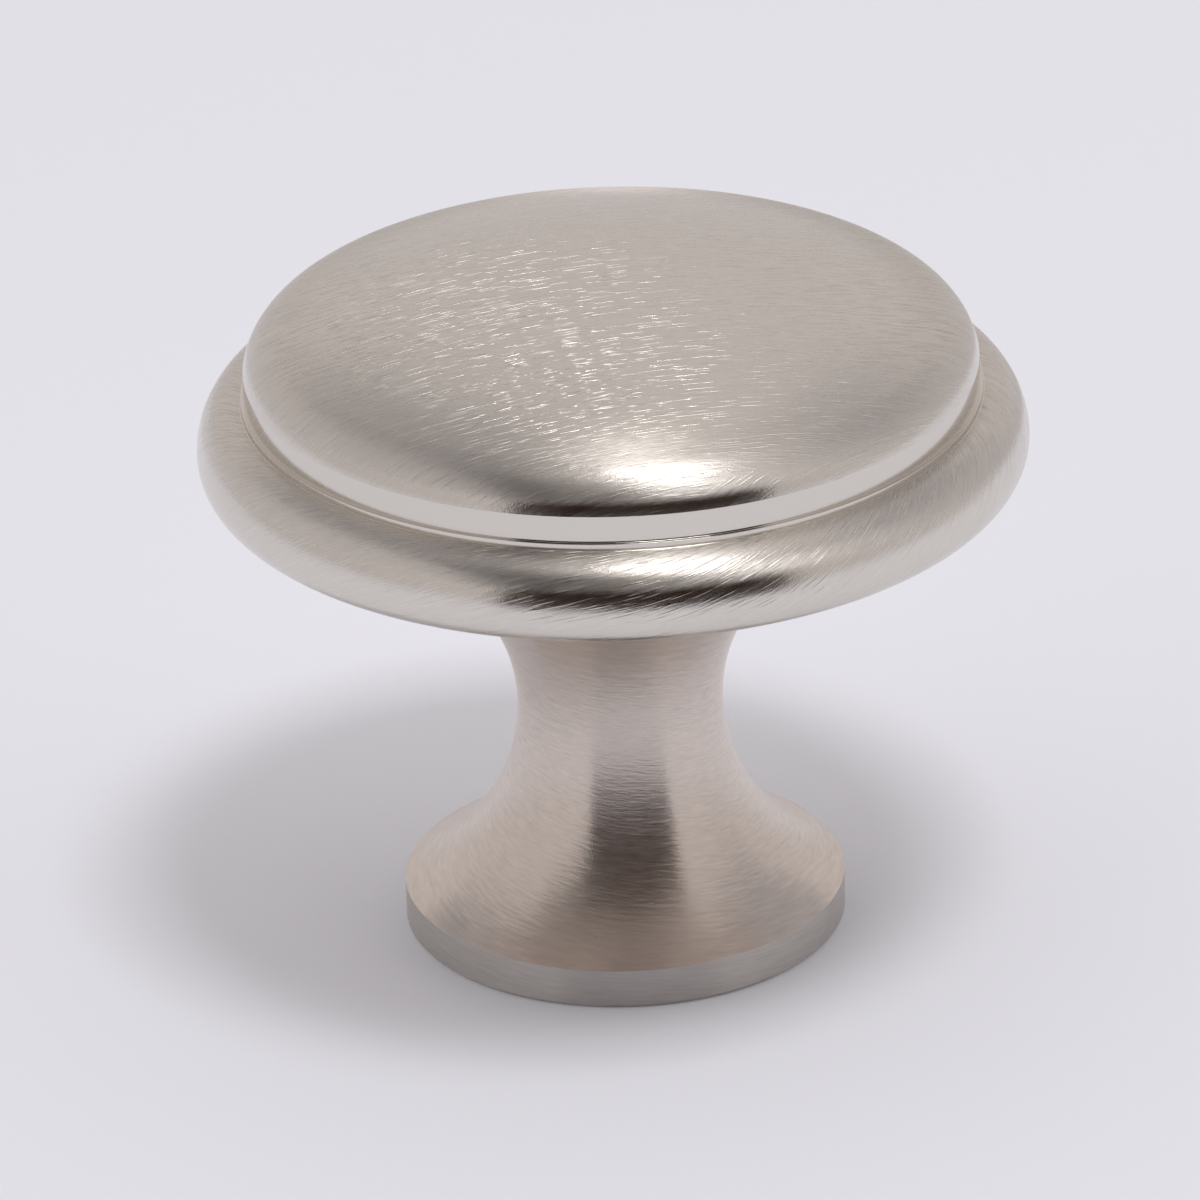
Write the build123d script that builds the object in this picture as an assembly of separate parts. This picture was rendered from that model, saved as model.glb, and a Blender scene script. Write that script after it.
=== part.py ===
from build123d import *
import os
from math import asin, atan2, cos, degrees, radians, sin, tan

# Round cabinet knob with a beaded rim, cast in zinc as one piece and plated.
# Millimetres, +Z up. The origin is the centre of the foot's face, which lies
# against the drawer front, and the knob is turned about the Z axis.
#
# Every size of the turned section is written once here, from the foot up.
foot_diameter = 17.2
foot_band_height = 1.63
foot_edge_break = 0.15

neck_diameter = 8.0
neck_height = 9.2
underside_slope = 23.0

rim_diameter = 32.0
bead_under_radius = 1.45
bead_face_radius = 2.4
bead_shoulder_radius = 1.45
bead_shoulder_angle = 55.0
bead_width = 1.725

step_width = 0.155
step_height = 0.26
cap_wall_height = 1.06
cap_rise = 3.39
cap_edge_radius = 2.2
cap_edge_angle = 78.0

overall_height = 27.0

# The tapped hole for the drawer front's screw, M4 x 0.7, at its tap-drill
# size: the thread's own turns are fine detail.
screw_diameter = 4.0
thread_pitch = 0.7
thread_depth = 14.0
drill_point_angle = 118.0
countersink_angle = 90.0
countersink_lip = 0.3

foot_radius = foot_diameter / 2
neck_radius = neck_diameter / 2
rim_radius = rim_diameter / 2
step_radius = rim_radius - bead_width
cap_radius = step_radius - step_width
tap_drill_radius = (screw_diameter - thread_pitch) / 2

# Heights of the head, from the top down.
cap_edge_height = overall_height - cap_rise
cap_wall_foot = cap_edge_height - cap_wall_height
bead_top = cap_wall_foot - step_height


def on_arc(centre, radius, tilt):
    """The point of an arc where its normal leans tilt degrees from straight up."""
    lean = radians(tilt)
    return (centre[0] + radius * sin(lean), centre[1] + radius * cos(lean))


def arc(centre, radius, first_tilt, last_tilt):
    """An arc of the section, from one tilt of its normal to another."""
    middle = (first_tilt + last_tilt) / 2
    return ThreePointArc(
        on_arc(centre, radius, first_tilt),
        on_arc(centre, radius, middle),
        on_arc(centre, radius, last_tilt),
    )


def hollow_arc(centre, radius, first_tilt, last_tilt):
    """The same on a hollow curve, whose normal points at its centre."""
    return arc(centre, radius, first_tilt - 180, last_tilt - 180)


def cap_lines():
    """The domed cap: its crown, rolled edge and plain wall."""
    edge_centre = on_arc((cap_radius, cap_edge_height), -cap_edge_radius, cap_edge_angle)
    # The crown is the ball that passes the top and rolls into the edge.
    drop = overall_height - edge_centre[1]
    crown_radius = (edge_centre[0] ** 2 + drop ** 2 - cap_edge_radius ** 2) / (2 * (drop - cap_edge_radius))
    crown_centre = (0, overall_height - crown_radius)
    crown_angle = degrees(asin(edge_centre[0] / (crown_radius - cap_edge_radius)))
    return [
        arc(crown_centre, crown_radius, 0, crown_angle),
        arc(edge_centre, cap_edge_radius, crown_angle, cap_edge_angle),
        Line((cap_radius, cap_edge_height), (cap_radius, cap_wall_foot)),
        Line((cap_radius, cap_wall_foot), (step_radius, cap_wall_foot)),
        Line((step_radius, cap_wall_foot), (step_radius, bead_top)),
    ]


def head_and_stem_lines():
    """The bead round the rim, the head's underside, the waisted stem and the foot."""
    # The bead is three arcs that run into one another, widest at the middle one.
    face_reach = bead_face_radius - bead_shoulder_radius
    shoulder_centre = (
        rim_radius - bead_face_radius + face_reach * sin(radians(bead_shoulder_angle)),
        bead_top - bead_shoulder_radius,
    )
    face_centre = on_arc(shoulder_centre, -face_reach, bead_shoulder_angle)
    under_centre = (rim_radius - bead_under_radius, face_centre[1])

    # The underside is a straight cone that runs into the bead, and the stem's
    # upper sweep is the hollow arc that leaves the neck upright and meets it.
    cone_tilt = 180 - underside_slope
    cone_end = on_arc(under_centre, bead_under_radius, cone_tilt)
    lean = radians(cone_tilt)
    gap = (neck_radius - cone_end[0]) * sin(lean) + (neck_height - cone_end[1]) * cos(lean)
    sweep_radius = gap / (1 - sin(lean))
    sweep_centre = (neck_radius + sweep_radius, neck_height)

    # Below the neck the stem flares in one hollow arc to the foot's edge.
    flare_out = foot_radius - neck_radius
    flare_down = neck_height - foot_band_height
    flare_radius = (flare_out ** 2 + flare_down ** 2) / (2 * flare_out)
    flare_centre = (neck_radius + flare_radius, neck_height)
    flare_tilt = degrees(atan2(flare_centre[0] - foot_radius, flare_down))

    return [
        Line((step_radius, bead_top), (shoulder_centre[0], bead_top)),
        arc(shoulder_centre, bead_shoulder_radius, 0, bead_shoulder_angle),
        arc(face_centre, bead_face_radius, bead_shoulder_angle, 90),
        arc(under_centre, bead_under_radius, 90, cone_tilt),
        Line(cone_end, on_arc(sweep_centre, -sweep_radius, cone_tilt)),
        hollow_arc(sweep_centre, sweep_radius, cone_tilt, 90),
        hollow_arc(flare_centre, flare_radius, 90, flare_tilt),
        Line((foot_radius, foot_band_height), (foot_radius, foot_edge_break)),
        Line((foot_radius, foot_edge_break), (foot_radius - foot_edge_break, 0)),
    ]


def hole_lines():
    """The blind tapped hole up the stem, with its countersunk mouth and drilled point."""
    mouth_radius = screw_diameter / 2 + countersink_lip
    mouth_depth = (mouth_radius - tap_drill_radius) / tan(radians(countersink_angle / 2))
    point_height = tap_drill_radius / tan(radians(drill_point_angle / 2))
    return [
        Polyline(
            (foot_radius - foot_edge_break, 0),
            (mouth_radius, 0),
            (tap_drill_radius, mouth_depth),
            (tap_drill_radius, thread_depth),
            (0, thread_depth + point_height),
            (0, overall_height),
        )
    ]


def knob():
    """The whole knob: its half section, turned about the axis."""
    outline = Curve() + cap_lines() + head_and_stem_lines() + hole_lines()
    section = Plane.XZ * make_face(outline)
    return revolve(section, Axis.Z)


os.makedirs("parts", exist_ok=True)
export_step(knob(), "parts/knob.step")
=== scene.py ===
import bpy
from math import asin, atan2, cos, degrees, pi, radians, sin
from mathutils import Matrix, Vector


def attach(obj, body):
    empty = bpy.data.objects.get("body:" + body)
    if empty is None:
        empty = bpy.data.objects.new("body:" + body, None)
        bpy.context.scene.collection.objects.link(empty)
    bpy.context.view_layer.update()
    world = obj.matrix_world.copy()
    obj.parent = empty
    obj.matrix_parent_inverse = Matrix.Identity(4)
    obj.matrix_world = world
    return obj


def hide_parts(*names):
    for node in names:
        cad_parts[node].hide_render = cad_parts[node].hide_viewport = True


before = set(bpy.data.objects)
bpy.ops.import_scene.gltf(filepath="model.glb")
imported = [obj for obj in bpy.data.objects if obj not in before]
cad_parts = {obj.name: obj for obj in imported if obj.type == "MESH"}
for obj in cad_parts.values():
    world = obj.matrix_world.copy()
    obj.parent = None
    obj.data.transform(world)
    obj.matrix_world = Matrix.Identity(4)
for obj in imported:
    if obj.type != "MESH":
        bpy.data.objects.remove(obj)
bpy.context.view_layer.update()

# Knob.
# One zinc casting turned about its axis, brushed by hand and then plated with
# nickel. It stands on its foot, where a screw comes up its tapped hole through
# the drawer front. Sizes are in millimetres, tilts in degrees from straight up.
MM = 0.001
TOP = 27.0
FOOT_RADIUS = 8.6
FOOT_BAND = 1.63
FOOT_BREAK = 0.15
NECK_RADIUS = 4.0
NECK_HEIGHT = 9.2
UNDERSIDE_SLOPE = 23.0
RIM_RADIUS = 16.0
BEAD_UNDER = 1.45
BEAD_FACE = 2.4
BEAD_SHOULDER = 1.45
BEAD_SHOULDER_TILT = 55.0
BEAD_WIDTH = 1.725
STEP_WIDTH = 0.155
STEP_HEIGHT = 0.26
STEP_LEAN = 0.022
WALL_HEIGHT = 1.06
CAP_RISE = 3.39
CAP_EDGE = 2.2
CAP_EDGE_TILT = 78.0
THREAD_RADIUS = 2.0
THREAD_PITCH = 0.7
THREAD_DEPTH = 14.0
THREAD_END = 12.4
THREAD_SINK = 0.3
DRILL_POINT = 0.6
EASE = 0.03


def on_arc(centre, radius, tilt):
    """The point of an arc where its normal leans tilt degrees from straight up."""
    return (centre[0] + radius * sin(radians(tilt)), centre[1] + radius * cos(radians(tilt)))


def arc(centre, radius, first_tilt, last_tilt, steps):
    span = (last_tilt - first_tilt) / steps
    return [on_arc(centre, radius, first_tilt + span * i) for i in range(steps + 1)]


def line(start, end, steps=1):
    return [
        (start[0] + (end[0] - start[0]) * i / steps, start[1] + (end[1] - start[1]) * i / steps)
        for i in range(steps + 1)
    ]


def eased(stretches, radius):
    """Joins stretches of the section, and eases each corner between them with a small round."""
    straight = radians(179)
    most_of_edge = 0.4
    lead_in = 1.8
    bend_steps = 4
    points = list(stretches[0])
    for stretch in stretches[1:]:
        corner = Vector(points[-1])
        back = Vector(points[-2]) - corner
        ahead = Vector(stretch[1]) - corner
        angle = back.angle(ahead)
        if angle > straight:
            points.extend(stretch[1:])
            continue
        near = min(radius * (1 - angle / pi), most_of_edge * back.length, most_of_edge * ahead.length)
        back.normalize()
        ahead.normalize()
        first = corner + back * near
        last = corner + ahead * near
        points[-1] = tuple(corner + back * near * lead_in)
        for i in range(bend_steps + 1):
            t = i / bend_steps
            points.append(tuple(first * (1 - t) ** 2 + corner * 2 * t * (1 - t) + last * t ** 2))
        points.append(tuple(corner + ahead * near * lead_in))
        points.extend(stretch[1:])
    return points


rim_step = RIM_RADIUS - BEAD_WIDTH
cap_radius = rim_step - STEP_WIDTH
cap_edge_height = TOP - CAP_RISE
wall_foot = cap_edge_height - WALL_HEIGHT
bead_top = wall_foot - STEP_HEIGHT
edge_centre = on_arc((cap_radius, cap_edge_height), -CAP_EDGE, CAP_EDGE_TILT)
drop = TOP - edge_centre[1]
crown = (edge_centre[0] ** 2 + drop ** 2 - CAP_EDGE ** 2) / (2 * (drop - CAP_EDGE))
crown_tilt = degrees(asin(edge_centre[0] / (crown - CAP_EDGE)))
reach = BEAD_FACE - BEAD_SHOULDER
shoulder_centre = (
    RIM_RADIUS - BEAD_FACE + reach * sin(radians(BEAD_SHOULDER_TILT)),
    bead_top - BEAD_SHOULDER,
)
face_centre = on_arc(shoulder_centre, -reach, BEAD_SHOULDER_TILT)
under_centre = (RIM_RADIUS - BEAD_UNDER, face_centre[1])
cone_tilt = 180 - UNDERSIDE_SLOPE
cone_end = on_arc(under_centre, BEAD_UNDER, cone_tilt)
lean = radians(cone_tilt)
gap = (NECK_RADIUS - cone_end[0]) * sin(lean) + (NECK_HEIGHT - cone_end[1]) * cos(lean)
sweep = gap / (1 - sin(lean))
sweep_centre = (NECK_RADIUS + sweep, NECK_HEIGHT)
flare_out = FOOT_RADIUS - NECK_RADIUS
flare_down = NECK_HEIGHT - FOOT_BAND
flare = (flare_out ** 2 + flare_down ** 2) / (2 * flare_out)
flare_centre = (NECK_RADIUS + flare, NECK_HEIGHT)
flare_tilt = degrees(atan2(flare_centre[0] - FOOT_RADIUS, flare_down))
tap_drill = THREAD_RADIUS - THREAD_PITCH / 2
mouth = THREAD_RADIUS + THREAD_SINK
mouth_depth = mouth - tap_drill

# The half section, from the middle of the crown out over the rolled edge, the
# polished wall, the step and the bead, under the head, down the stem to the
# foot and up the hole. Each stretch starts at a corner.
stretches = [
    arc((0, TOP - crown), crown, 0, crown_tilt, 40)
    + arc(edge_centre, CAP_EDGE, crown_tilt, CAP_EDGE_TILT, 30)[1:],
    line((cap_radius, cap_edge_height), (cap_radius, wall_foot), 3),
    line((cap_radius, wall_foot), (rim_step - STEP_LEAN, wall_foot)),
    line((rim_step - STEP_LEAN, wall_foot), (rim_step, bead_top)),
    line((rim_step, bead_top), (shoulder_centre[0], bead_top))
    + arc(shoulder_centre, BEAD_SHOULDER, 0, BEAD_SHOULDER_TILT, 20)[1:]
    + arc(face_centre, BEAD_FACE, BEAD_SHOULDER_TILT, 90, 16)[1:]
    + arc(under_centre, BEAD_UNDER, 90, cone_tilt, 16)[1:]
    + line(cone_end, on_arc(sweep_centre, -sweep, cone_tilt), 8)[1:]
    + arc(sweep_centre, sweep, cone_tilt - 180, -90, 24)[1:]
    + arc(flare_centre, flare, -90, flare_tilt - 180, 28)[1:],
    line((FOOT_RADIUS, FOOT_BAND), (FOOT_RADIUS, FOOT_BREAK), 3),
    line((FOOT_RADIUS, FOOT_BREAK), (FOOT_RADIUS - FOOT_BREAK, 0)),
    line((FOOT_RADIUS - FOOT_BREAK, 0), (mouth, 0), 4),
    line((mouth, 0), (tap_drill, mouth_depth), 8)
    + line((tap_drill, mouth_depth), (tap_drill, THREAD_DEPTH), 190)[1:],
    line((tap_drill, THREAD_DEPTH), (0, THREAD_DEPTH + tap_drill * DRILL_POINT), 4),
]
section = eased(stretches, EASE)

# Zones of the finish, numbered for the section's points. CLOSE takes in the
# points that lie right on an edge.
CAP, STEP, BEAD, STEM, UNDERSIDE, HOLE, BAND = range(7)
BEAD_BRUSHED_DOWN = 1.3
BEAD_BRUSHED_IN = 13.0
UNDERSIDE_FROM = 0.75
CLOSE = 0.0005


def zone_of(point):
    r, z = point
    if z > cap_edge_height - CLOSE:
        return CAP
    if r < rim_step + 2 * EASE and z > bead_top - EASE:
        return STEP
    if z > under_centre[1] - BEAD_BRUSHED_DOWN and r > BEAD_BRUSHED_IN:
        return BEAD
    if r < mouth + 2 * CLOSE:
        return HOLE
    if z < FOOT_BAND + CLOSE:
        return BAND
    if z > sweep_centre[1] + UNDERSIDE_FROM * sweep:
        return UNDERSIDE
    return STEM


# The plated metal. All zones are one metal with other marks left in it. The
# stem is a warmer nickel. The underside of the head and the band of the foot
# are darker, which is painted shade under the head and down by the floor.
NICKEL = (0.72, 0.68, 0.63)
STEM_NICKEL = (0.735, 0.66, 0.6)
# Painted shade: the underside of the head is darker.
UNDERSIDE_PAINTED_SHADE = (0.58, 0.51, 0.45)
# Painted shade: the band of the foot, by the floor, is darker.
BAND_PAINTED_SHADE = (0.56, 0.53, 0.5)
TONE = 0.09
STREAK = 0.25


class Wire:
    """One socket of a node tree. Arithmetic on it adds Math nodes, and node() adds any other."""

    def __init__(self, tree, socket=None):
        self.tree = tree
        self.socket = socket

    def node(self, kind, settings, inputs, output=0):
        made = self.tree.nodes.new(kind)
        for name, value in settings.items():
            setattr(made, name, value)
        for name, value in inputs.items():
            if isinstance(value, Wire):
                self.tree.links.new(value.socket, made.inputs[name])
            else:
                made.inputs[name].default_value = value
        return None if output is None else Wire(self.tree, made.outputs[output])

    def maths(self, operation, *values):
        return self.node("ShaderNodeMath", {"operation": operation}, dict(enumerate(values)))

    def __add__(self, other):
        return self.maths("ADD", self, other)

    def __radd__(self, other):
        return self.maths("ADD", other, self)

    def __sub__(self, other):
        return self.maths("SUBTRACT", self, other)

    def __rsub__(self, other):
        return self.maths("SUBTRACT", other, self)

    def __mul__(self, other):
        return self.maths("MULTIPLY", self, other)

    def __rmul__(self, other):
        return self.maths("MULTIPLY", other, self)

    def __truediv__(self, other):
        return self.maths("DIVIDE", self, other)

    def __rtruediv__(self, other):
        return self.maths("DIVIDE", other, self)

    def root(self):
        return self.maths("SQRT", self)

    def size(self):
        return self.maths("ABSOLUTE", self)

    def clamped(self):
        return self.maths("MINIMUM", self.maths("MAXIMUM", self, 0.0), 1.0)

    def ramp(self, low, high):
        """0 below low, 1 above high, smooth between."""
        limits = {"Value": self, "From Min": low, "From Max": high}
        return self.node("ShaderNodeMapRange", {"interpolation_type": "SMOOTHSTEP"}, limits)

    def vector(self, x, y, z):
        return self.node("ShaderNodeCombineXYZ", {}, {"X": x, "Y": y, "Z": z})

    def parts(self):
        return (self.node("ShaderNodeSeparateXYZ", {}, {0: self}, axis) for axis in "XYZ")

    def noise(self, x, y, z, detail, roughness=0.5):
        """Noise about 0, in coordinates counted in grains."""
        place = {"Vector": self.vector(x, y, z), "Scale": 1.0, "Detail": detail, "Roughness": roughness}
        return self.node("ShaderNodeTexNoise", {}, place) - 0.5


# Brush strokes. Fine and broad strokes and scores are counted in grains per
# millimetre along and across the stroke, and stand some microns high.
FINE = (2.0, 18.0)
FINE_HEIGHT = 0.0075
BROAD = (0.3, 6.0)
BROAD_HEIGHT = 0.006
SCORE = (0.8, 14.0)
SCORE_FROM = (0.08, 0.28)
SCORE_HEIGHT = 0.008
BUNCH = (0.15, 4.0)
GRIT = 13.0
GRIT_HEIGHT = 0.003


def strokes(start, along, across, seed, scored=1.0):
    """Height of the strokes, the streaks they are bunched in, their tone and the flecks of haze they make."""
    fine = start.noise(along * FINE[0], across * FINE[1], seed, 1.0)
    broad = start.noise(along * BROAD[0], across * BROAD[1], seed + 3.0, 1.0)
    scores = start.noise(along * SCORE[0], across * SCORE[1], seed + 6.0, 0.0).ramp(*SCORE_FROM)
    streaks = start.noise(along * BUNCH[0], across * BUNCH[1], seed + 9.0, 2.0, 0.7)
    height = fine * FINE_HEIGHT + broad * BROAD_HEIGHT + scores * (scored * SCORE_HEIGHT)
    return height, streaks, fine + broad * 0.6 + 0.5, (fine + scores * 0.3) * 1.6


def grit(start, x, y, z):
    """Height of the grain of the cast skin."""
    return start.noise(x * GRIT, y * GRIT, z * GRIT, 1.0) * GRIT_HEIGHT


# The cap is brushed across in long shallow arcs about a point well off the
# knob, scored on the left of its crown, and brushed up over its rolled edge on
# the right. The edge is hazy down to just above the wall, where it is clear.
STROKE_CENTRE = (31.5, -136.4)
STROKE_RADIUS = 140.0
STROKE_RISE = 0.5
EDGE_SLANT = 42.0
EDGE_SEED = 20.0
CAP_WORN = (cap_edge_height + 0.31, 0.4)
CAP_ROLLED = (TOP - 1.1, 0.6)
CAP_CROWN = (TOP - 1.6, 0.8)
CAP_LOW = (cap_edge_height + 1.34, 0.35)
SCORED = 1.3
ROLLED_HAZE = 0.7
CROWN_HAZE = 0.1
LOW_HAZE = 0.8
CLEARED = 0.3


def cap_marks(start, x, y, z):
    across_x = x - STROKE_CENTRE[0]
    across_y = y - STROKE_CENTRE[1]
    across = (across_x * across_x + across_y * across_y).root() + z * STROKE_RISE
    along = start.maths("ARCTAN2", across_x, across_y) * STROKE_RADIUS
    worn = (z - CAP_WORN[0]).ramp(0.0, CAP_WORN[1])
    rolled = (CAP_ROLLED[0] - z).ramp(0.0, CAP_ROLLED[1])
    on_crown = (z - CAP_CROWN[0]).ramp(0.0, CAP_CROWN[1])
    scored = on_crown * (6.0 - x).ramp(0.0, 9.0) * (9.0 - y).ramp(0.0, 8.0)
    arcs = strokes(start, along, across, 0.0, 1.0 + scored * SCORED)
    up, out = cos(radians(EDGE_SLANT)), sin(radians(EDGE_SLANT))
    slanted = strokes(start, x * up + y * out, y * up - x * out + z * STROKE_RISE, EDGE_SEED)
    on_edge = (TOP - z).ramp(1.9, 2.9) * x.ramp(1.0, 6.0) * (0.0 - y).ramp(0.0, 5.0)
    height, streaks, tone, flecks = (a * (1.0 - on_edge) + b * on_edge for a, b in zip(arcs, slanted))
    height = height * (worn * 0.75 + 0.25) + grit(start, x, y, z)
    haze = (rolled * ROLLED_HAZE + CROWN_HAZE + flecks) * worn
    low_haze = (CAP_LOW[0] - z).ramp(0.0, CAP_LOW[1]) * (LOW_HAZE + flecks) * worn
    return height, streaks + worn * CLEARED - CLEARED, tone, haze, low_haze, on_crown


# The bead is linished at a slant, steeper towards its sides.
BEAD_CENTRE = (RIM_RADIUS - 2.1, bead_top - 1.89)
BEAD_LENGTH = 15.5
BEAD_ACROSS = 2.0
BEAD_SLANT = 0.19
BEAD_SLANT_GROWTH = 0.257
BEAD_SEED = 40.0
BEAD_WORN = (bead_top - 1.14, 0.4)
BEAD_LOW = (bead_top - 0.29, 0.35)
BEAD_HAZE = 0.65


def bead_marks(start, x, y, z):
    radius = (x * x + y * y).root()
    turn = start.maths("ARCTAN2", x, 0.0 - y)
    over = start.maths("ARCTAN2", radius - BEAD_CENTRE[0], z - BEAD_CENTRE[1]) * BEAD_ACROSS
    slant = turn * BEAD_SLANT + turn * turn.size() * BEAD_SLANT_GROWTH
    height, streaks, tone, flecks = strokes(start, turn * BEAD_LENGTH, over + slant * BEAD_LENGTH, BEAD_SEED)
    worn = (z - BEAD_WORN[0]).ramp(0.0, BEAD_WORN[1])
    height = height * (worn * 0.5 + 0.5) + grit(start, x, y, z)
    low_haze = (BEAD_LOW[0] - z).ramp(0.0, BEAD_LOW[1]) * (LOW_HAZE + flecks) * worn
    return height, streaks + worn * CLEARED - CLEARED, tone, (flecks + BEAD_HAZE) * worn, low_haze


# The stem, the underside and the foot are turned and brushed round.
STEM_RISE = 0.6
STEM_FINE = (8.0, 11.0)
STEM_FINE_HEIGHT = 0.012
STEM_BROAD = (2.5, 4.0)
STEM_BROAD_HEIGHT = 0.010
STEM_SEEDS = (60.0, 63.0)


def stem_marks(start, x, y, z):
    turn = start.maths("ARCTAN2", x, 0.0 - y)
    across = z + turn * STEM_RISE
    fine = start.noise(turn * STEM_FINE[0], across * STEM_FINE[1], STEM_SEEDS[0], 1.0)
    broad = start.noise(turn * STEM_BROAD[0], across * STEM_BROAD[1], STEM_SEEDS[1], 1.0)
    height = fine * STEM_FINE_HEIGHT + broad * STEM_BROAD_HEIGHT + grit(start, x, y, z)
    return height, fine * 0.3 + broad * 0.2, fine * 1.6 + broad * 0.8 + 0.5


# The wall and the step are polished, and the hole is as it was cut.
CLOUD = 3.0
CLOUD_HEIGHT = 0.0005
CLOUD_STREAK = 0.1


def polish_marks(start, x, y, z):
    cloud = start.noise(x * CLOUD, y * CLOUD, z * CLOUD, 2.0)
    return cloud * CLOUD_HEIGHT, cloud * CLOUD_STREAK, 0.5


def metal(name, marks, lobes, colour=NICKEL):
    """Plated metal. Each lobe is a roughness, spread and slant in degrees, and is mixed over those before it.

    marks(start, x, y, z) gives the height of the marks in millimetres, the
    streaks in the roughness, the tone from 0 to 1 and each further lobe's share.
    """
    material = bpy.data.materials.new(name)
    material.use_nodes = True
    tree = material.node_tree
    tree.nodes.clear()
    start = Wire(tree)
    place = start.node("ShaderNodeTexCoord", {}, {}, "Object")
    place = start.node("ShaderNodeVectorMath", {"operation": "SCALE"}, {0: place, "Scale": 1 / MM})
    height, streaks, tone, *shares = marks(start, *place.parts())
    bump = start.node("ShaderNodeBump", {}, {"Height": height, "Distance": MM, "Strength": 1.0})
    dark = (*(part * (1 - TONE) for part in colour), 1.0)
    pale = (*(part * (1 + TONE) for part in colour), 1.0)
    toned = start.node("ShaderNodeMix", {"data_type": "RGBA"}, {0: tone, 6: dark, 7: pale}, 2)
    mixed = None
    for roughness, spread, slant in lobes:
        looks = {
            "Base Color": toned,
            "Metallic": 1.0,
            "Roughness": roughness + STREAK * streaks,
            "Anisotropic": spread,
            "Anisotropic Rotation": 0.25 + slant / 360,
            "Normal": bump,
        }
        shader = start.node("ShaderNodeBsdfPrincipled", {}, looks)
        if mixed:
            shader = start.node("ShaderNodeMixShader", {}, {0: shares.pop(0), 1: mixed, 2: shader})
        mixed = shader
    start.node("ShaderNodeOutputMaterial", {}, {"Surface": mixed}, None)
    return material


cap_lobes = [(0.28, 0.5, 0.0), (0.43, 0.88, 8.0), (0.40, 0.92, 10.0), (0.28, 0.0, 0.0)]
bead_lobes = [(0.28, 0.5, 0.0), (0.41, 0.9, 0.0), (0.38, 0.92, 20.0)]
finishes = {
    CAP: metal("brushed_cap", cap_marks, cap_lobes),
    STEP: metal("polished_step", polish_marks, [(0.12, 0.0, 0.0)]),
    BEAD: metal("brushed_bead", bead_marks, bead_lobes),
    STEM: metal("brushed_stem", stem_marks, [(0.30, 0.88, 0.0)], STEM_NICKEL),
    # The underside's and the foot band's darker colours are painted shade.
    UNDERSIDE: metal("turned_underside_painted_shade", stem_marks, [(0.42, 0.9, 0.0)], UNDERSIDE_PAINTED_SHADE),
    HOLE: metal("cut_thread", polish_marks, [(0.35, 0.0, 0.0)]),
    BAND: metal("foot_band_painted_shade", stem_marks, [(0.36, 0.9, 0.0)], BAND_PAINTED_SHADE),
}

# The turning. The section's points carry their zone, and Geometry Nodes turns
# them round and cuts the thread in the hole.
TURN_STEPS = 180
WELD = 0.0008
CREST = 0.125
FLANK = 0.3125
BELOW_DRILL = 0.01
half = bpy.data.meshes.new("knob_section")
half.from_pydata([(r * MM, 0, z * MM) for r, z in section], [(i, i + 1) for i in range(len(section) - 1)], [])
mark = half.attributes.new("finish", "FLOAT", "POINT")
for item, point in zip(mark.data, section):
    item.value = zone_of(point)


def turning_tree():
    """Turns the input's half section about Z and cuts the thread in its hole."""
    tree = bpy.data.node_groups.new("turned_about_z", "GeometryNodeTree")
    face = tree.interface
    face.new_socket("Geometry", in_out="INPUT", socket_type="NodeSocketGeometry")
    for name in ("Section points", "Steps round"):
        face.new_socket(name, in_out="INPUT", socket_type="NodeSocketInt")
    for name in ("Thread pitch", "Thread radius", "Thread end"):
        face.new_socket(name, in_out="INPUT", socket_type="NodeSocketFloat")
    face.new_socket("Geometry", in_out="OUTPUT", socket_type="NodeSocketGeometry")
    given = {s.name: Wire(tree, s) for s in tree.nodes.new("NodeGroupInput").outputs if s.name}
    start = Wire(tree)
    steps = given["Steps round"]
    columns = steps + 1
    grid = start.node(
        "GeometryNodeMeshGrid", {}, {"Vertices X": given["Section points"], "Vertices Y": columns}
    )
    index = start.node("GeometryNodeInputIndex", {}, {})
    row = start.maths("FLOOR", (index + 0.5) / columns)
    angle = (index - row * columns) / steps * (2 * pi)

    def of_section(value, kind):
        sampled = {"Geometry": given["Geometry"], "Value": value, "Index": row}
        return start.node("GeometryNodeSampleIndex", {"data_type": kind, "domain": "POINT"}, sampled)

    def named(name):
        return start.node("GeometryNodeInputNamedAttribute", {"data_type": "FLOAT"}, {"Name": name})

    r, _, z = of_section(start.node("GeometryNodeInputPosition", {}, {}), "FLOAT_VECTOR").parts()
    zone = of_section(named("finish"), "FLOAT")
    pitch = given["Thread pitch"]
    phase = start.maths("FRACT", z / pitch - angle / (2 * pi) + 100.0)
    cut = (((phase - 0.5).size() - CREST) / FLANK).clamped()
    runout = ((given["Thread end"] - z) / pitch).clamped()
    threaded = given["Thread radius"] - pitch / 2 + cut * runout * (pitch / 2)
    in_hole = start.maths("COMPARE", zone, HOLE, 0.4)
    not_point = start.maths("GREATER_THAN", r, (tap_drill - BELOW_DRILL) * MM)
    r = r + (start.maths("MAXIMUM", r, threaded) - r) * in_hole * not_point
    turned = start.vector(r * start.maths("COSINE", angle), r * start.maths("SINE", angle), z)
    body = start.node("GeometryNodeSetPosition", {}, {"Geometry": grid, "Position": turned})
    stored = {"Geometry": body, "Name": "finish", "Value": zone}
    body = start.node("GeometryNodeStoreNamedAttribute", {"data_type": "FLOAT", "domain": "POINT"}, stored)
    body = start.node("GeometryNodeMergeByDistance", {}, {"Geometry": body, "Distance": WELD * MM})
    body = start.node("GeometryNodeSetShadeSmooth", {}, {"Geometry": body})
    body = start.node("GeometryNodeRealizeInstances", {}, {"Geometry": body})
    on_face = {"data_type": "FLOAT", "domain": "FACE"}
    made = start.node("GeometryNodeFieldOnDomain", on_face, {0: named("finish")})
    for number, material in finishes.items():
        inputs = {"Geometry": body, "Material": material}
        if number:
            inputs["Selection"] = start.maths("COMPARE", made, number, 0.5)
        body = start.node("GeometryNodeSetMaterial", {}, inputs)
    tree.links.new(body.socket, tree.nodes.new("NodeGroupOutput").inputs["Geometry"])
    return tree


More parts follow.
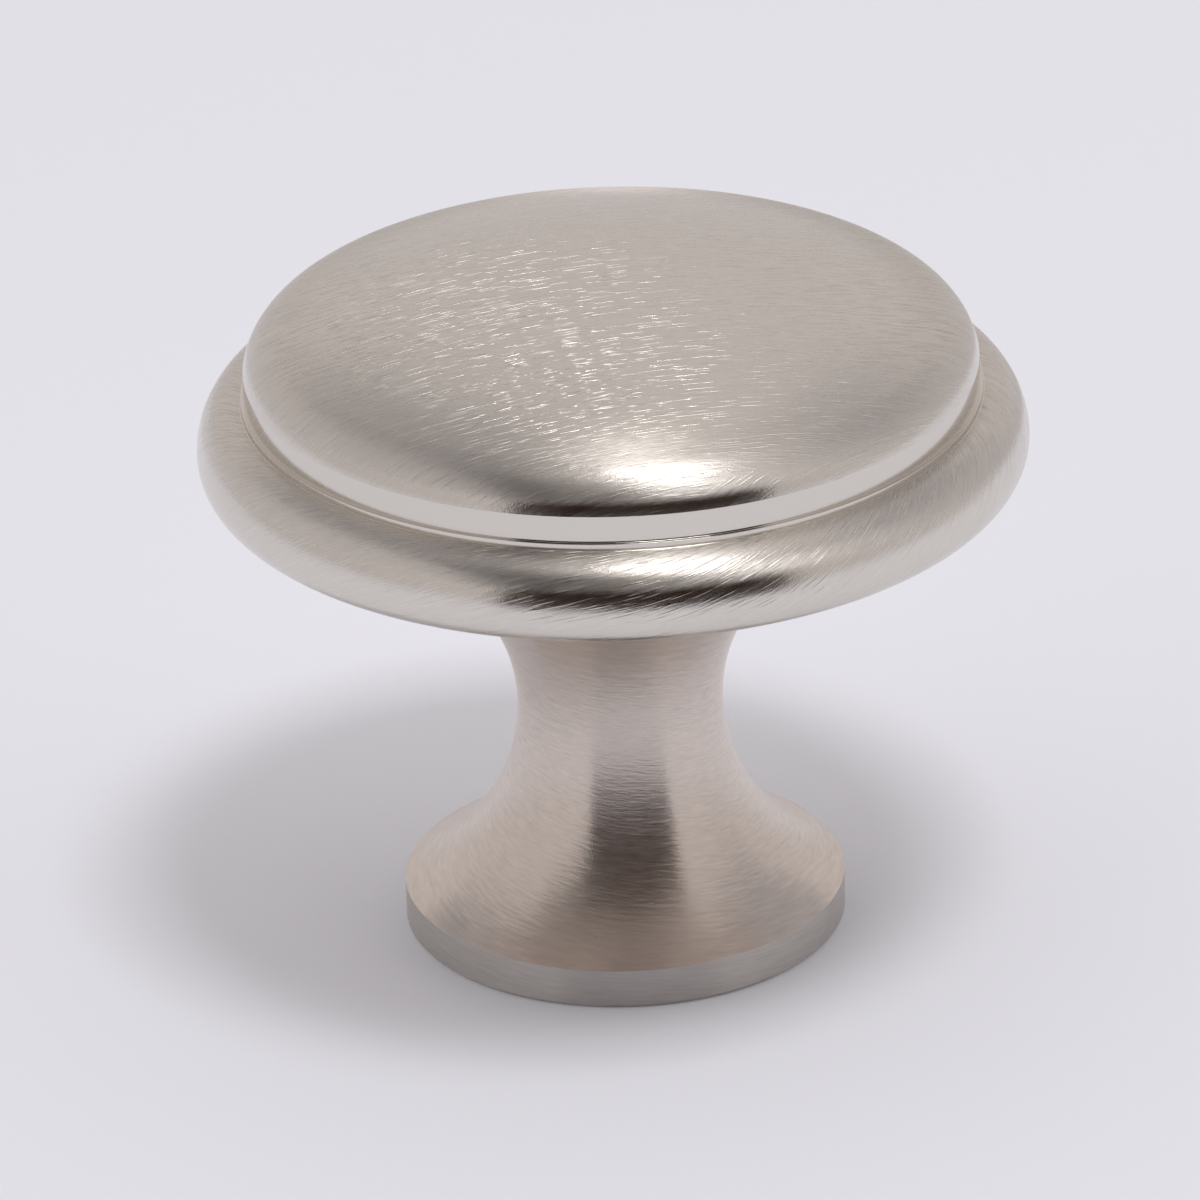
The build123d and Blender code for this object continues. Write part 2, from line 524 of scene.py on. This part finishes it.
blank = bpy.data.objects.new("knob_blank", half)
bpy.context.scene.collection.objects.link(blank)
lathe = blank.modifiers.new("lathe", "NODES")
lathe.node_group = turning_tree()
sizes = {
    "Section points": len(section),
    "Steps round": TURN_STEPS,
    "Thread pitch": THREAD_PITCH * MM,
    "Thread radius": THREAD_RADIUS * MM,
    "Thread end": THREAD_END * MM,
}
for item in lathe.node_group.interface.items_tree:
    if item.name in sizes:
        lathe[item.identifier] = sizes[item.name]
turned = bpy.data.meshes.new_from_object(blank.evaluated_get(bpy.context.evaluated_depsgraph_get()))
turned.name = "knob_turned"
bpy.data.objects.remove(blank)
knob = bpy.data.objects.new("turned_knob", turned)
bpy.context.scene.collection.objects.link(knob)
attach(knob, "root")
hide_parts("knob")

# Floor.
# Plain pale board that the knob stands on, far wider than the view. It glows a
# little for the camera and in reflections, which lights nothing.
FLOOR_COLOUR = (0.84, 0.865, 0.935)
FLOOR_GLOW = 0.09
GLOW_COLOUR = (0.95, 0.95, 1.0, 1.0)
FLOOR_HALF = 2.0
SQUARE = ((-1, -1), (1, -1), (1, 1), (-1, 1))


def matt(name, colour):
    material = bpy.data.materials.new(name)
    material.use_nodes = True
    shader = material.node_tree.nodes["Principled BSDF"]
    shader.inputs["Base Color"].default_value = (*colour, 1.0)
    shader.inputs["Roughness"].default_value = 1.0
    shader.inputs["Specular IOR Level"].default_value = 0.0
    return material


def sheet(name, corners, material):
    mesh = bpy.data.meshes.new(name)
    mesh.from_pydata(corners, [], [(0, 1, 2, 3)])
    mesh.materials.append(material)
    made = bpy.data.objects.new(name, mesh)
    bpy.context.scene.collection.objects.link(made)
    return made


board = matt("pale_board", FLOOR_COLOUR)
start = Wire(board.node_tree)
seen = start.node("ShaderNodeLightPath", {}, {}, "Is Camera Ray")
mirrored = start.node("ShaderNodeLightPath", {}, {}, "Is Glossy Ray")
glow = start.maths("MAXIMUM", seen, mirrored) * FLOOR_GLOW
shader = board.node_tree.nodes["Principled BSDF"]
shader.inputs["Emission Color"].default_value = GLOW_COLOUR
board.node_tree.links.new(glow.socket, shader.inputs["Emission Strength"])
sheet("floor", [(FLOOR_HALF * a, FLOOR_HALF * b, 0) for a, b in SQUARE], board)

# Light.
# A small strong panel overhead, a little to the right and front, in a pale
# room, with grey and dark cards hung round it. Places and sizes of what hangs
# are for 1 m above the knob.
HUNG = 0.75
CARDS_HUNG = HUNG * 1.04
KEY_PLACE = (0.168, -0.225)
KEY_SIZE = (0.26, 0.26)
KEY_TURN = 0.3
KEY_RADIANCE = 14.4
WARM_WHITE = (1.0, 0.94, 0.92, 1.0)
BACKDROP = (0.77, 0.76, 0.81, 1.0)
ROOM_SIDES = 0.65
ROOM_ENDS = 0.05
ROOM_LOW = 0.08

lamp = bpy.data.lights.new("key_panel", "AREA")
lamp.shape = "RECTANGLE"
lamp.size = KEY_SIZE[0] * HUNG
lamp.size_y = KEY_SIZE[1] * HUNG
lamp.energy = KEY_RADIANCE * lamp.size * lamp.size_y * pi
panel = bpy.data.objects.new("key_panel", lamp)
panel.location = (KEY_PLACE[0] * HUNG, KEY_PLACE[1] * HUNG, HUNG)
panel.rotation_euler = (0, 0, KEY_TURN)
bpy.context.scene.collection.objects.link(panel)

world = bpy.data.worlds.new("room")
world.use_nodes = True
bpy.context.scene.world = world
world.node_tree.nodes.clear()
start = Wire(world.node_tree)
x, y, z = start.node("ShaderNodeTexCoord", {}, {}, "Generated").parts()
ends = y * y / (x * x + y * y + 0.0001)
low = (1.0 - z) * (1.0 - z)
strength = ROOM_SIDES + ROOM_ENDS * ends - ROOM_LOW * low
seen = start.node("ShaderNodeLightPath", {}, {}, "Is Camera Ray")
lit = start.node("ShaderNodeBackground", {}, {"Color": WARM_WHITE, "Strength": strength})
shown = start.node("ShaderNodeBackground", {}, {"Color": BACKDROP, "Strength": 1.0})
room = start.node("ShaderNodeMixShader", {}, {0: seen, 1: lit, 2: shown})
start.node("ShaderNodeOutputWorld", {}, {"Surface": room}, None)


def card(name, corners, colour, shades=False):
    """A card that only reflections show, or that also shades the floor."""
    made = sheet(name, corners, matt(name, colour))
    made.visible_camera = False
    made.visible_diffuse = shades


def hung_card(name, place, size, turn, grey):
    corners = []
    for a, b in SQUARE:
        u = place[0] + a * size[0] / 2 * cos(turn) - b * size[1] / 2 * sin(turn)
        w = place[1] + a * size[0] / 2 * sin(turn) + b * size[1] / 2 * cos(turn)
        corners.append((u * CARDS_HUNG, w * CARDS_HUNG, CARDS_HUNG))
    card(name, corners, (grey, grey, grey))


hung_card("left_card", (-0.595, 0.617), (0.866, 1.308), 0.434, 0.54)
hung_card("dark_card", (-0.576, -0.816), (0.552, 1.336), 0.0, 0.17)
hung_card("right_card", (1.07, 0.65), (1.25, 1.43), 0.46, 0.72)

# The dark front of the room stands behind the camera, and a dark mat runs from
# it towards the knob, narrower at its near end.
BROWN = (0.04, 0.022, 0.015)
FRONT = -1.0
FRONT_LEFT = -0.6
FRONT_RIGHT = 1.05
FRONT_TOP = 1.7
MAT_NEAR = -0.14
MAT_NEAR_LEFT = -0.085
MAT_NEAR_RIGHT = 0.133
MAT_HEIGHT = 0.0005
front_sides = (FRONT_LEFT, FRONT_RIGHT)
front_corners = [(side, FRONT, 0) for side in front_sides]
front_corners += [(side, FRONT, FRONT_TOP) for side in reversed(front_sides)]
card("front_card", front_corners, BROWN, True)
mat_corners = [(side, FRONT, MAT_HEIGHT) for side in front_sides]
mat_corners += [(side, MAT_NEAR, MAT_HEIGHT) for side in (MAT_NEAR_RIGHT, MAT_NEAR_LEFT)]
card("front_mat", mat_corners, BROWN)

# Camera.
# Long lens from the front, looking down at 26 degrees.
CAMERA_PLACE = Vector((0.0, -0.383851, 0.199328))
CAMERA_TARGET = Vector((-0.000678, 0.0, 0.013362))
CAMERA_ROLL = -0.0283874
FOCAL_PIXELS = 11018.7
FRAME_PIXELS = 1200
SENSOR = 36.0
camera_data = bpy.data.cameras.new("camera")
camera_data.sensor_width = SENSOR
camera_data.lens = FOCAL_PIXELS * SENSOR / FRAME_PIXELS
camera = bpy.data.objects.new("camera", camera_data)
bpy.context.scene.collection.objects.link(camera)
view = (CAMERA_TARGET - CAMERA_PLACE).normalized()
right = view.cross(Vector((0, 0, 1))).normalized()
up = right.cross(view)
rolled_right = right * cos(CAMERA_ROLL) + up * sin(CAMERA_ROLL)
rolled_up = up * cos(CAMERA_ROLL) - right * sin(CAMERA_ROLL)
turn = Matrix((rolled_right, rolled_up, -view)).transposed().to_4x4()
camera.matrix_world = Matrix.Translation(CAMERA_PLACE) @ turn
bpy.context.scene.camera = camera
bpy.context.scene.view_settings.view_transform = "Standard"
